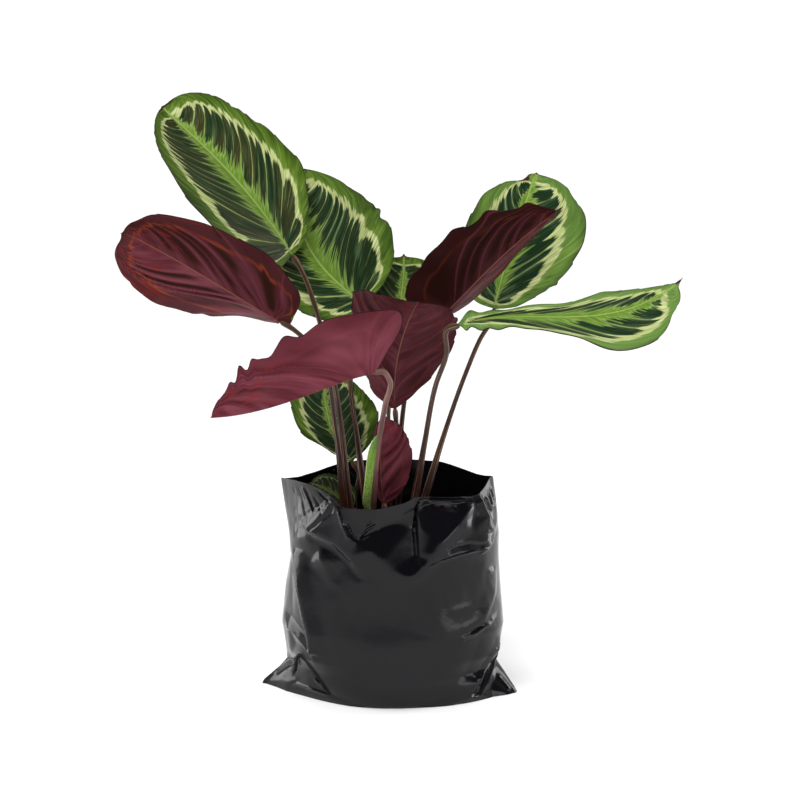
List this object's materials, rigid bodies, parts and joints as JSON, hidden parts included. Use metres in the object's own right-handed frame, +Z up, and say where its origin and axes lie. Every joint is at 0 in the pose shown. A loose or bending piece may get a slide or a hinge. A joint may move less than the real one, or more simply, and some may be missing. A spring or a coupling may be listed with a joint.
{
  "type": "potted calathea medallion",
  "caption": "Prayer plant with broad feather-patterned leaves, purple underneath, on slim stalks in a soft black nursery bag of potting mix.",
  "frame": {"origin": "middle of the bag's flat bottom, on the surface it stands on", "axes": "+Z up the plant, +X to the right and -Y towards the viewer as in the picture"},
  "size_m": [0.5476, 0.2471, 0.6001],
  "materials": {
    "leaf_green": "satin living leaf: dark green with a feathered light green midrib band and a pale ring; purple below",
    "leaf_purple": "satin living leaf seen from below: burgundy purple with fine lateral folds",
    "leaf_young": "satin young leaf, olive green",
    "stalk": "smooth brown maroon leaf stalk with lighter streaks",
    "bag": "glossy black polythene film, creased",
    "soil": "matt dark brown potting mix with bark crumbs"
  },
  "bodies": {
    "root": {"bag": "bag", "soil": "soil", "leaf_a_blade": "leaf_green", "leaf_a_stalk": "stalk", "leaf_b_blade": "leaf_green", "leaf_b_stalk": "stalk", "leaf_c_blade": "leaf_purple", "leaf_c_stalk": "stalk", "leaf_d_blade": "leaf_green", "leaf_d_stalk": "stalk", "leaf_e_blade": "leaf_purple", "leaf_e_stalk": "stalk", "leaf_f_blade": "leaf_purple", "leaf_f_stalk": "stalk", "leaf_g_blade": "leaf_purple", "leaf_g_stalk": "stalk", "leaf_h_blade": "leaf_green", "leaf_h_stalk": "stalk", "leaf_i_blade": "leaf_green", "leaf_i_stalk": "stalk", "leaf_j_blade": "leaf_green", "leaf_j_stalk": "stalk", "leaf_k_blade": "leaf_purple", "leaf_k_stalk": "stalk", "leaf_l_blade": "leaf_young", "leaf_l_stalk": "stalk"}
  },
  "joints": []
}
